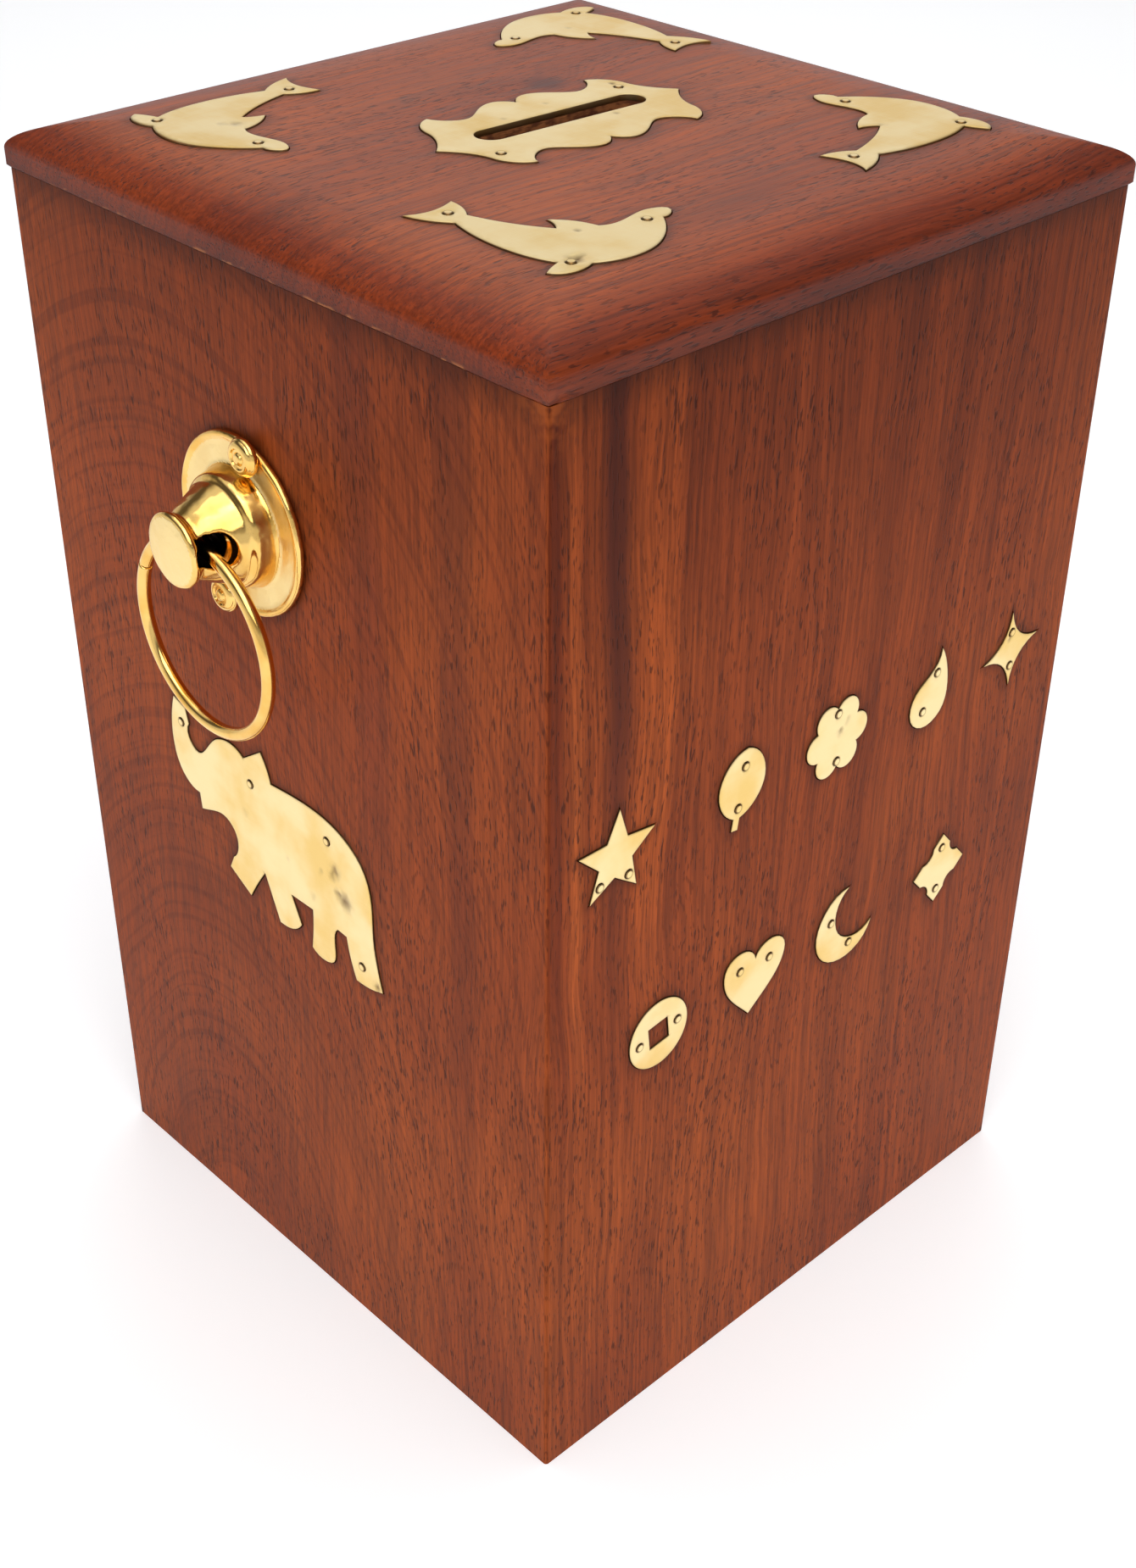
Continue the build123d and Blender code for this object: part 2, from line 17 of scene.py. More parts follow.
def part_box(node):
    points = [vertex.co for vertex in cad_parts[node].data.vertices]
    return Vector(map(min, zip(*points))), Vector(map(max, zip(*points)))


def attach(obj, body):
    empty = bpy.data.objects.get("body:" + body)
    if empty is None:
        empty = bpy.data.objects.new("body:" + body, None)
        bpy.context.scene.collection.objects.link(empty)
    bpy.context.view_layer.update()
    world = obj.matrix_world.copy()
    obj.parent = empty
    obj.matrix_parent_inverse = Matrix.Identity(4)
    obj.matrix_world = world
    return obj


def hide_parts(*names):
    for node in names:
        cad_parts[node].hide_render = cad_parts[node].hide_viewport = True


MM = 0.001
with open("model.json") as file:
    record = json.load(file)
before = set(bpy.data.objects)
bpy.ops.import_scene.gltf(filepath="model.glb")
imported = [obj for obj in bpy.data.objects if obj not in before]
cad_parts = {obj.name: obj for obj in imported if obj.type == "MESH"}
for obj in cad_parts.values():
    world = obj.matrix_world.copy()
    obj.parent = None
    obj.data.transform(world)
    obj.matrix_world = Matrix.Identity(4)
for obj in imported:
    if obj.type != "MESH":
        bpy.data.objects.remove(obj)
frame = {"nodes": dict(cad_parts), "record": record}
bpy.context.view_layer.update()
NODES = frame["nodes"]
BODY_OF = {node: body for body, nodes in frame["record"]["behaviour"]["bodies"].items() for node in nodes}


# ---------------------------------------------------------------- the box's flat sides

class Side:
    """A flat side of the box, with its own x, y and z."""

    def __init__(self, origin, x_axis, y_axis):
        self.origin = Vector(origin)
        self.x = Vector(x_axis)
        self.y = Vector(y_axis)
        self.z = self.x.cross(self.y)

    def local(self, point):
        offset = Vector(point) - self.origin
        return Vector((offset.dot(self.x), offset.dot(self.y), offset.dot(self.z)))

    def world(self, x, y, z=0.0):
        return self.origin + self.x * x + self.y * y + self.z * z


WALL_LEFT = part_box("left_board")[0].x
WALL_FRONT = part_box("front_board")[0].y
WALL_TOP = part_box("front_board")[1].z
LID_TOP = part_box("lid_board")[1].z
LID_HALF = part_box("lid_board")[1].x

FRONT = Side((0, WALL_FRONT, 0), (1, 0, 0), (0, 0, 1))
BACK = Side((0, -WALL_FRONT, 0), (-1, 0, 0), (0, 0, 1))
LEFT = Side((WALL_LEFT, 0, 0), (0, -1, 0), (0, 0, 1))
RIGHT = Side((-WALL_LEFT, 0, 0), (0, 1, 0), (0, 0, 1))
TOP = Side((0, 0, LID_TOP), (1, 0, 0), (0, 1, 0))

DOLPHINS = [name for name in sorted(NODES) if name.startswith("dolphin")]
MOTIFS = [
    "star_inlay", "leaf_inlay", "flower_inlay", "drop_inlay", "four_point_inlay",
    "coin_inlay", "heart_inlay", "crescent_inlay", "lozenge_inlay",
]
INLAY_SIDE = {name: TOP for name in DOLPHINS + ["slot_plate"]}
INLAY_SIDE.update({name: FRONT for name in MOTIFS})
INLAY_SIDE.update({"elephant_left": LEFT, "elephant_right": RIGHT})


# ---------------------------------------------------------------- material nodes

def srgb(red, green, blue):
    """A colour given as 0-255 display values, as linear RGBA."""
    channels = []
    for value in (red, green, blue):
        value /= 255
        channels.append(value / 12.92 if value <= 0.04045 else ((value + 0.055) / 1.055) ** 2.4)
    return (*channels, 1.0)


class Graph:
    """The node tree of a material or a world, with short calls to build it."""

    def __init__(self, owner):
        self.owner = owner
        owner.use_nodes = True
        self.tree = owner.node_tree
        self.tree.nodes.clear()

    def add(self, kind, inputs=None, **settings):
        node = self.tree.nodes.new(kind)
        for key, value in settings.items():
            setattr(node, key, value)
        for key, value in (inputs or {}).items():
            self.plug(value, node.inputs[key])
        return node

    def plug(self, value, socket):
        if isinstance(value, bpy.types.NodeSocket):
            self.tree.links.new(value, socket)
        else:
            socket.default_value = value

    def math(self, operation, first, second=0.0):
        return self.add("ShaderNodeMath", {0: first, 1: second}, operation=operation).outputs[0]

    def product(self, *values):
        total = values[0]
        for value in values[1:]:
            total = self.math("MULTIPLY", total, value)
        return total

    def mix(self, factor, first, second, blend="MIX"):
        node = self.add("ShaderNodeMix", data_type="RGBA", blend_type=blend)
        for value, index in ((factor, 0), (first, 6), (second, 7)):
            self.plug(value, node.inputs[index])
        return node.outputs[2]

    def span(self, value, low, high, to_low=0.0, to_high=1.0):
        """Value carried from low..high to to_low..to_high, smoothly and clamped."""
        inputs = {"Value": value, "From Min": low, "From Max": high, "To Min": to_low, "To Max": to_high}
        return self.add("ShaderNodeMapRange", inputs, interpolation_type="SMOOTHSTEP").outputs[0]

    def vector(self, x, y, z):
        return self.add("ShaderNodeCombineXYZ", {0: x, 1: y, 2: z}).outputs[0]

    def line_noise(self, value, detail):
        """Noise that changes only with one number."""
        inputs = {"W": value, "Scale": 1.0, "Detail": detail}
        return self.add("ShaderNodeTexNoise", inputs, noise_dimensions="1D").outputs["Fac"]

    def stretched(self, axes, scales, detail=2.0, roughness=0.5):
        """Noise of a different fineness, in features per metre, along each axis."""
        place = self.vector(*[self.math("MULTIPLY", axis, scale) for axis, scale in zip(axes, scales)])
        inputs = {"Vector": place, "Scale": 1.0, "Detail": detail, "Roughness": roughness}
        return self.add("ShaderNodeTexNoise", inputs).outputs["Fac"]

    def position(self):
        """X, Y and Z in metres, in the frame that the CAD is in."""
        place = self.add("ShaderNodeTexCoord").outputs["Object"]
        return self.add("ShaderNodeSeparateXYZ", {0: place}).outputs

    def attribute(self, name):
        """A value that the mesh carries at its vertices, and 0 where it carries none."""
        return self.add("ShaderNodeAttribute", attribute_name=name).outputs["Fac"]

    def bump(self, height, distance, strength):
        inputs = {"Height": height, "Distance": distance, "Strength": strength}
        return self.add("ShaderNodeBump", inputs).outputs[0]

    def finish(self, inputs):
        """End the tree in a principled surface and give the material."""
        shader = self.add("ShaderNodeBsdfPrincipled", inputs)
        self.add("ShaderNodeOutputMaterial", {0: shader.outputs[0]})
        return self.owner


# ---------------------------------------------------------------- wood

HEARTWOOD = srgb(146, 66, 28)
# dark grain; also painted over the tops of the walls as shade
DARK_GRAIN_AND_SHADE = srgb(96, 40, 20)
WARM_GRAIN = srgb(174, 86, 34)
DUSKY = srgb(84, 42, 34)
# the dark of the pores; also painted beside the brass (with dark filler) and along the lid's joint as shade
PORE_AND_SHADE = srgb(50, 20, 10)
RAW = srgb(196, 138, 88)
SAWN_LIGHT = srgb(150, 92, 52)
SAWN_DARK = srgb(92, 48, 26)
# painted shade: the roundovers are darkened where they catch less sheen
ROUNDOVER_PAINTED_SHADE = (0.68, 0.47, 0.33, 1.0)

# features per metre, across, along and into the grain
WANDER_GRAIN = (22, 9, 22)
BLOTCH_GRAIN = (28, 11, 28)
UNEVEN_GRAIN = (34, 14, 34)
PATCH_GRAIN = (90, 30, 90)
SPECK_GRAIN = (420, 420, 900)
FIBRE_GRAIN = (2100, 60, 2100)
FLECK_GRAIN = (2900, 420, 2900)
FINE_RINGS = 900.0

WANDER = 13 * MM
RING_TILT = 0.35
KNOT_REACH = 16 * MM
KNOT_PUSH = 7 * MM
KNOT_CORE = 1.2 * MM
KNOT_EDGE = 5.5 * MM
PORE_DEPTH = 0.05 * MM

# how strongly each thing colours the wood
FIGURE_STRENGTH = 0.5
FIGURE_ABOVE_ARCHES = 0.3
WARM_STRENGTH = 0.45
FINE_STRENGTH = 0.35
PORE_STRENGTH = 0.68
# the dark line beside the brass: dark filler and painted shade
HALO_STRENGTH = 0.6
# painted shade along the lid's joint
SEAM_STRENGTH = 0.55
KNOT_STRENGTH = 0.8
CHIP_STRENGTH = 0.7


def wood(name, axes, pith, lean, rings, streaks=(), painted_top_shade=None, knot=None, arches=None, gloss=0.06):
    """Lacquered rosewood. axes gives which of X, Y and Z run across, along and into the grain.

    Growth rings are cones round the pith, which lies at (across, along) in metres. lean is how
    fast they widen along the grain and rings how many features there are to a metre. A streak is
    (across, half width, colour, strength, the two heights between which it fades in). tone is two
    heights between which the wood darkens as painted shade, and by how much. arches are the two
    heights between which the rings grow faint, and knot is where a knot lies, as (across, along).
    """
    g = Graph(bpy.data.materials.new(name))
    place = g.position()
    grain = [place["XYZ".index(axis)] for axis in axes]
    across, along, inward = grain
    wander = g.stretched(grain, WANDER_GRAIN, 3.0)
    line = g.math("ADD", across, g.product(g.math("SUBTRACT", wander, 0.5), WANDER))

    reach = g.product(g.math("SUBTRACT", along, pith[1]), lean)
    side = g.math("SUBTRACT", line, pith[0])
    ring = g.math("SQRT", g.math("ADD", g.product(side, side), g.product(reach, reach)))
    if knot:
        ends = {0: g.vector(across, along, 0.0), 1: (*knot, 0.0)}
        away = g.add("ShaderNodeVectorMath", ends, operation="DISTANCE").outputs["Value"]
        ring = g.math("ADD", ring, g.span(away, 0.0, KNOT_REACH, KNOT_PUSH, 0.0))
    ring = g.math("ADD", ring, g.product(inward, RING_TILT))
    wide = g.line_noise(g.product(ring, rings), 3.0)
    fine = g.line_noise(g.product(ring, FINE_RINGS), 2.0)
    blotch = g.stretched(grain, BLOTCH_GRAIN)
    patches = g.stretched(grain, PATCH_GRAIN)
    uneven = g.stretched(grain, UNEVEN_GRAIN)
    fibre = g.stretched((line, along, inward), FIBRE_GRAIN, 3.0, 0.6)
    flecks = g.stretched((line, along, inward), FLECK_GRAIN, 1.0)
    pores = g.product(g.span(flecks, 0.56, 0.68), g.span(patches, 0.3, 0.62, 0.25, 1.0))

    figure = g.span(wide, 0.34, 0.72, 0.0, FIGURE_STRENGTH)
    figure = g.product(figure, g.span(uneven, 0.36, 0.6, 0.25, 1.0))
    if arches:
        figure = g.product(figure, g.span(along, *arches, 1.0, FIGURE_ABOVE_ARCHES))
    colour = g.mix(figure, HEARTWOOD, DARK_GRAIN_AND_SHADE)
    colour = g.mix(g.span(blotch, 0.45, 0.75, 0.0, WARM_STRENGTH), colour, WARM_GRAIN)
    colour = g.mix(g.span(fine, 0.45, 0.7, 0.0, FINE_STRENGTH), colour, DARK_GRAIN_AND_SHADE)
    for centre, half_width, streak_colour, strength, low, high in streaks:
        offset = g.math("ABSOLUTE", g.math("SUBTRACT", line, centre))
        nearness = g.math("DIVIDE", offset, half_width)
        mask = g.product(g.span(nearness, 0.35, 1.1, strength, 0.0), g.span(along, low, high))
        mask = g.product(mask, g.span(fibre, 0.25, 0.6, 0.55, 1.0))
        colour = g.mix(mask, colour, streak_colour)
    if knot:
        colour = g.mix(g.span(away, KNOT_CORE, KNOT_EDGE, KNOT_STRENGTH, 0.0), colour, DUSKY)
    shade = g.span(fibre, 0.25, 0.75, 0.68, 1.27)
    grey = g.add("ShaderNodeCombineColor", {0: shade, 1: shade, 2: shade}).outputs[0]
    colour = g.mix(1.0, colour, grey, "MULTIPLY")
    colour = g.mix(g.product(pores, PORE_STRENGTH), colour, PORE_AND_SHADE)
    # painted shade: the walls darken towards the lid
    if painted_top_shade:
        low, high, depth = painted_top_shade
        colour = g.mix(g.span(along, low, high, 0.0, depth), colour, DARK_GRAIN_AND_SHADE, "MULTIPLY")

    # dark filler and painted shade beside the brass
    colour = g.mix(g.product(g.attribute("near_brass"), HALO_STRENGTH), colour, PORE_AND_SHADE)
    # painted shade along the lid's joint
    colour = g.mix(g.product(g.attribute("near_seam"), SEAM_STRENGTH), colour, PORE_AND_SHADE)
    specks = g.stretched(grain, SPECK_GRAIN)
    worn = g.product(g.attribute("worn"), g.span(specks, 0.52, 0.66))
    colour = g.mix(worn, colour, RAW)
    chipped = g.product(g.attribute("chipped"), g.span(specks, 0.35, 0.6))
    colour = g.mix(g.product(chipped, CHIP_STRENGTH), colour, WARM_GRAIN)
    # painted shade: the roundover darkened where it catches less sheen
    colour = g.mix(g.attribute("rounded"), colour, ROUNDOVER_PAINTED_SHADE, "MULTIPLY")
    sawn = g.attribute("sawn")
    colour = g.mix(sawn, colour, g.mix(g.span(specks, 0.35, 0.65), SAWN_LIGHT, SAWN_DARK))

    height = g.math("SUBTRACT", g.product(fibre, 0.5), pores)
    lacquer = g.span(fibre, 0.2, 0.8, 0.38, 0.5)
    return g.finish({
        "Base Color": colour,
        "Roughness": g.math("MAXIMUM", lacquer, g.product(sawn, 0.85)),
        "Specular IOR Level": gloss,
        "Normal": g.bump(height, PORE_DEPTH, 0.7),
    })


def bare_wood(name, axes, light, dark):
    """Unlacquered, sawn wood."""
    g = Graph(bpy.data.materials.new(name))
    place = g.position()
    grain = [place["XYZ".index(axis)] for axis in axes]
    fibre = g.stretched(grain, (1500, 90, 1500), 4.0, 0.65)
    blotch = g.stretched(grain, (120, 40, 120))
    colour = g.mix(g.span(fibre, 0.3, 0.7), light, dark)
    colour = g.mix(g.span(blotch, 0.4, 0.7, 0.0, 0.5), colour, dark)
    return g.finish({
        "Base Color": colour,
        "Roughness": g.span(fibre, 0.2, 0.8, 0.7, 0.9),
        "Normal": g.bump(fibre, 0.3 * MM, 0.8),
    })


# ---------------------------------------------------------------- metal

# scratches on sheet brass, in features per metre across and along them
SCRATCH_FINE = 4200
SCRATCH_LONG = 140
# tarnish in the dents, and painted shade at the sheets' edges and sides
DIRT_AND_SHADE = srgb(88, 52, 24)
# painted shade inside the bore
BORE_SHADE = srgb(58, 30, 12)


def satin_brass(name):
    """Sanded sheet brass: fine crossing scratches, faint tarnish, dark tarnish in the dents and painted shade
    along the edges and sides.
    """
    g = Graph(bpy.data.materials.new(name))
    x, y, z = g.position()
    cloud = g.stretched((x, y, z), (90, 90, 90), 3.0)
    along_y = (g.math("ADD", x, z), y, g.math("SUBTRACT", x, z))
    along_x = (x, g.math("ADD", y, z), g.math("SUBTRACT", y, z))
    scratch_y = g.stretched(along_y, (SCRATCH_FINE, SCRATCH_LONG, SCRATCH_FINE))
    scratch_x = g.stretched(along_x, (SCRATCH_LONG, SCRATCH_FINE, SCRATCH_FINE))
    scratches = g.math("ADD", scratch_y, scratch_x)
    colour = g.mix(g.span(cloud, 0.35, 0.7), srgb(250, 226, 168), srgb(240, 204, 124))
    # dark tarnish in the dents, painted shade at the edges and sides
    colour = g.mix(g.product(g.attribute("dirt_and_shade"), 0.85), colour, DIRT_AND_SHADE)
    return g.finish({
        "Base Color": colour,
        "Metallic": 1.0,
        "Roughness": g.span(scratches, 0.7, 1.3, 0.3, 0.42),
        "Normal": g.bump(scratches, 0.006 * MM, 0.5),
    })


def polished_brass(name):
    """Bright brass, rough where the polishing wheel did not reach, with painted shade in the bore."""
    g = Graph(bpy.data.materials.new(name))
    place = g.position()
    cloud = g.stretched(place, (160, 160, 160), 3.0)
    grit = g.stretched(place, (1500, 1500, 1500))
    cast = g.attribute("rough_cast")
    colour = g.mix(g.span(cloud, 0.35, 0.7), srgb(247, 205, 122), srgb(236, 184, 92))
    colour = g.mix(g.product(cast, 0.7), colour, srgb(250, 226, 165))
    # painted shade in and round the bore
    colour = g.mix(g.attribute("bore_shade"), colour, BORE_SHADE)
    return g.finish({
        "Base Color": colour,
        "Metallic": 1.0,
        "Roughness": g.math("ADD", g.span(cloud, 0.3, 0.7, 0.1, 0.2), g.product(cast, 0.22)),
        "Normal": g.bump(g.product(grit, g.span(cast, 0.0, 1.0, 0.06, 1.0)), 0.12 * MM, 0.6),
    })


def plated_steel(name):
    """Dull zinc plate."""
    g = Graph(bpy.data.materials.new(name))
    grit = g.stretched(g.position(), (900, 900, 900))
    colour = g.mix(grit, srgb(176, 176, 180), srgb(206, 205, 203))
    return g.finish({
        "Base Color": colour,
        "Metallic": 1.0,
        "Roughness": g.span(grit, 0.3, 0.7, 0.25, 0.4),
    })


# ---------------------------------------------------------------- mesh helpers

WELD = 1e-7
SAME_POINT = 1e-9
ON_PLANE = 1e-6


def link(name, data):
    """A new object in the scene that shows the data."""
    made = bpy.data.objects.new(name, data)
    bpy.context.scene.collection.objects.link(made)
    return made


def new_piece(name, mesh, node, material):
    """Show a mesh as a piece that stands for one CAD node and rides on its body."""
    piece = link(name, mesh)
    mesh.materials.append(material)
    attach(piece, BODY_OF[node])
    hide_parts(node)
    return piece


def welded_copy(node):
    """The CAD node's shape with its split vertices joined."""
    shape = bmesh.new()
    shape.from_mesh(NODES[node].data)
    bmesh.ops.remove_doubles(shape, verts=shape.verts, dist=WELD)
    return shape


def to_mesh(shape, name):
    """Turn a bmesh into a mesh."""
    mesh = bpy.data.meshes.new(name)
    shape.to_mesh(mesh)
    shape.free()
    return mesh


def smooth_by_angle(shape, degrees=32.0):
    """Smooth shading that keeps every edge sharper than the angle."""
    limit = math.radians(degrees)
    for polygon in shape.faces:
        polygon.smooth = True
    for edge in shape.edges:
        edge.smooth = len(edge.link_faces) == 2 and edge.calc_face_angle() < limit


def outlines_on(node, side, level):
    """The closed outlines, in a side's x and y, of a node's flat at that height out of the side."""
    mesh = NODES[node].data
    keys = [tuple(round(c, 7) for c in side.local(vertex.co)) for vertex in mesh.vertices]
    edges = set()
    for polygon in mesh.polygons:
        corners = [keys[index] for index in polygon.vertices]
        if all(abs(corner[2] - level) < ON_PLANE for corner in corners):
            for start, end in zip(corners, corners[1:] + corners[:1]):
                if (end, start) in edges:
                    edges.remove((end, start))
                else:
                    edges.add((start, end))
    following = dict(sorted(edges))
    loops = []
    while following:
        here = next(iter(following))
        loop = []
        while here in following:
            loop.append(Vector(here[:2]))
            here = following.pop(here)
        loops.append(loop)
    return loops


def refined(loop, step):
    """The outline with points added so that none are further apart than step."""
    points = []
    for start, end in zip(loop, loop[1:] + loop[:1]):
        count = max(1, math.ceil((end - start).length / step))
        points += [start.lerp(end, i / count) for i in range(count)]
    return points


def nearest_tree(points):
    """A search tree for the nearest of the points, which have two or three coordinates."""
    tree = KDTree(len(points))
    for index, point in enumerate(points):
        tree.insert((*point[:2], point[2] if len(point) > 2 else 0.0), index)
    tree.balance()
    return tree


def extent(points):
    """The lowest and the highest x and y of the points."""
    low = [min(point[axis] for point in points) for axis in (0, 1)]
    high = [max(point[axis] for point in points) for axis in (0, 1)]
    return low, high


def grid_points(low, high, step):
    """Points of a square grid inside a box, alternate rows shifted by half a step."""
    points = []
    rows = int((high[1] - low[1]) / step)
    columns = int((high[0] - low[0]) / step)
    for row in range(1, rows):
        for column in range(1, columns):
            shift = 0.5 * (row % 2)
            points.append(Vector((low[0] + (column + shift) * step, low[1] + row * step)))
    return points


def fill_outlines(points, edges, inner):
    """Triangles that fill the outlines and use the inner points, with every hole left open.

    Gives the placed points, the triangles, and for each placed point its first source.
    """
    placed, _, triangles, sources, *_ = delaunay_2d_cdt(points + inner, edges, [], 0, SAME_POINT)
    corners = np.array([tuple(point) for point in placed])
    centres = corners[np.array(triangles)].mean(axis=1)
    starts = np.array([tuple(points[a]) for a, _ in edges])
    ends = np.array([tuple(points[b]) for _, b in edges])
    inside = np.zeros(len(centres), bool)
    for start, end in zip(starts, ends):
        spans = (start[1] > centres[:, 1]) != (end[1] > centres[:, 1])
        if start[1] != end[1]:
            cross = start[0] + (centres[:, 1] - start[1]) * (end[0] - start[0]) / (end[1] - start[1])
            inside ^= spans & (centres[:, 0] < cross)
    kept = [triangle for triangle, within in zip(triangles, inside) if within]
    return placed, kept, [min(merged, default=-1) for merged in sources]


# ---------------------------------------------------------------- inlays

EDGE_ROUNDING = 0.22 * MM
EDGE_DROP = 0.1 * MM
HAND_WAVINESS = 0.05 * MM
WAVE_LENGTH = 9 * MM
THINNEST = 0.2 * MM
OUTLINE_STEP = 0.7 * MM
SHEET_GRID = 0.8 * MM
BRASS_SMOOTH_ANGLE = 50
# width of the dark ring round each pin head, painted shade
PIN_SHADE_RING = 0.16 * MM

# dents as x, y, radius and depth in millimetres, in the side's own frame
DENTS = {
    "elephant_left": [
        (12, 102.2, 0.9, 0.22), (11.2, 100.8, 0.6, 0.2), (14.2, 97.2, 1.3, 0.25), (12.4, 97.8, 0.6, 0.2),
        (5.5, 93.6, 0.4, 0.16), (-0.8, 97.6, 0.3, 0.12), (8, 100, 0.4, 0.12), (21.6, 83.6, 0.7, 0.3),
        (-12.3, 101.6, 0.5, 0.06),
    ],
    "elephant_right": [(-12.6, 95, 0.5, 0.15), (9.5, 98.2, 0.7, 0.18), (3.1, 104.4, 0.4, 0.12)],
    "dolphin_front_left": [(-39.2, -42.8, 0.9, 0.45), (-38.2, -42.3, 0.7, 0.4), (-31.5, -35, 0.35, 0.15)],
    "dolphin_back_left": [(-37.8, 34.6, 0.8, 0.12), (-39.4, 36, 0.5, 0.1)],
    "dolphin_front_right": [(36.2, -33, 0.4, 0.1)],
    "dolphin_back_right": [(38.5, 40.5, 0.4, 0.1)],
    "slot_plate": [(20.6, 11.1, 0.4, 0.2), (9.5, -1, 0.35, 0.2), (-5.4, 8.8, 0.5, 0.06), (5, 10.6, 0.3, 0.1)],
    "flower_inlay": [(1.6, 124.9, 0.5, 0.2), (3.2, 126.4, 0.4, 0.15)],
    "four_point_inlay": [(46.2, 124.3, 0.35, 0.15)],
    "crescent_inlay": [(4, 84.8, 0.5, 0.18)],
}


def inlay_piece(node, material):
    """A sheet-brass inlay with eased edges, a hand-worked waviness and its dents."""
    side = INLAY_SIDE[node]
    heights = [side.local(corner).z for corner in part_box(node)]
    bottom, top = min(heights), max(heights)
    loops = [refined(loop, OUTLINE_STEP) for loop in outlines_on(node, side, round(top, 7))]
    border = nearest_tree([point for loop in loops for point in refined(loop, 0.1 * MM)])

    inner = []
    for loop in loops:
        for before, here, after in zip(loop[-1:] + loop[:-1], loop, loop[1:] + loop[:1]):
            run = (after - before).normalized()
            inner.append(here + Vector((-run.y, run.x)) * EDGE_ROUNDING)
    inner = [point for point in inner if border.find((*point, 0))[2] > 0.8 * EDGE_ROUNDING]
    ring = nearest_tree(inner)
    outline = [point for loop in loops for point in loop]
    for point in grid_points(*extent(outline), SHEET_GRID):
        if border.find((*point, 0))[2] > 0.5 * MM and ring.find((*point, 0))[2] > 0.3 * MM:
            inner.append(point)

    edges = []
    first = 0
    for loop in loops:
        count = len(loop)
        edges += [(first + i, first + (i + 1) % count) for i in range(count)]
        first += count
    flat, triangles, sources = fill_outlines(outline, edges, inner)

    shape = bmesh.new()
    dirt_and_shade = shape.verts.layers.float.new("dirt_and_shade")
    seed = Vector((sum(map(ord, node)) * 0.37, 1.7, 4.1))
    used = {index for triangle in triangles for index in triangle}
    tops = {}
    for index in used:
        point = flat[index]
        depth = border.find((*point, 0))[2]
        eased = max(0.0, 1 - depth / EDGE_ROUNDING)
        wave = noise.noise(Vector((*point, 0)) / WAVE_LENGTH + seed)
        height = top - EDGE_DROP * eased ** 2 + HAND_WAVINESS * (wave - 0.6) * min(1.0, depth / MM)
        # the eased edge is painted darker: painted shade where the sheet meets the wood; the dents below add
        # tarnish
        grime_and_shade = 0.35 * eased
        for x, y, radius, sink in DENTS.get(node, ()):
            ragged = 1 + 0.5 * noise.noise(Vector((*point, 0)) / (0.4 * MM))
            fall = math.exp(-((point - Vector((x, y)) * MM).length / (radius * MM * ragged)) ** 2)
            height -= sink * MM * fall
            grime_and_shade = max(grime_and_shade, min(1.0, 5 * sink) * fall)
        height = max(height, bottom + THINNEST)
        vertex = shape.verts.new(side.world(point.x, point.y, height))
        vertex[dirt_and_shade] = grime_and_shade
        tops[index] = vertex
    for triangle in triangles:
        shape.faces.new([tops[index] for index in triangle])

    place_of = {source: index for index, source in enumerate(sources)}
    first = 0
    feet = []
    for loop in loops:
        ring_tops = [tops[place_of[first + i]] for i in range(len(loop))]
        ring_feet = [shape.verts.new(side.world(point.x, point.y, bottom)) for point in loop]
        # the sides are painted darkest at the wood: painted shade
        for foot in ring_feet:
            foot[dirt_and_shade] = 1.0
        for i in range(len(loop)):
            j = (i + 1) % len(loop)
            shape.faces.new((ring_tops[j], ring_tops[i], ring_feet[i], ring_feet[j]))
        feet += ring_feet
        first += len(loop)
    _, under, sources = fill_outlines(outline, edges, [])
    for triangle in under:
        shape.faces.new([feet[sources[index]] for index in reversed(triangle)])

    bmesh.ops.recalc_face_normals(shape, faces=shape.faces)
    smooth_by_angle(shape, BRASS_SMOOTH_ANGLE)
    new_piece(node + "_sheet", to_mesh(shape, node + "_sheet"), node, material)


def pins_piece(node, side, material):
    """Pins with a dark line round each head, painted shade standing in for the groove there."""
    shape = welded_copy(node)
    bmesh.ops.dissolve_limit(shape, angle_limit=math.radians(1), verts=shape.verts, edges=shape.edges)
    floor = max(side.local(corner).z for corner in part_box(node)) - 0.01 * MM
    heads = [face for face in shape.faces if all(side.local(v.co).z > floor for v in face.verts)]
    dirt_and_shade = shape.verts.layers.float.new("dirt_and_shade")
    for vertex in shape.verts:
        vertex[dirt_and_shade] = 1.0
    # the dark ring round each head is painted shade
    bmesh.ops.inset_individual(shape, faces=heads, thickness=PIN_SHADE_RING, depth=0.0)
    for head in heads:
        for vertex in head.verts:
            vertex[dirt_and_shade] = 0.0
    smooth_by_angle(shape)
    new_piece(node + "_heads", to_mesh(shape, node + "_heads"), node, material)


# ---------------------------------------------------------------- boards

# small triangles, this far from the brass, carry the dark line round it, which is dark filler and painted
# shade
FINE_STEP = 0.8 * MM
FINE_REACH = 3.2 * MM
FLANGE_POINTS = 200
FLAT_ANGLE = math.radians(0.02)
SEAM_CUTS = [WALL_TOP + offset * MM for offset in (-5, -2.5, -1, -0.4, 0.8, 1.6)]

# reach of the dark line beside the brass: dark filler and painted shade
FILLER_AND_SHADE_REACH = 1.1 * MM
# reach of the painted shade along the lid's joint
SEAM_REACH = 1.6 * MM
WORN_SEAM = 0.5 * MM
WORN_HALF_LENGTH = 50 * MM
CHIP_REACH = 7 * MM
BITE_REACH = 5 * MM
BITE_GRAIN = 1.3 * MM
BITE_DEPTH = 1.2 * MM
CHIPPED_CORNER = Vector((WALL_LEFT, WALL_FRONT, WALL_TOP))
# the roundover, which is painted darker as shade
ROUNDOVER_WIDTH = 20 * MM
ROUNDOVER_FADE = 1.5 * MM

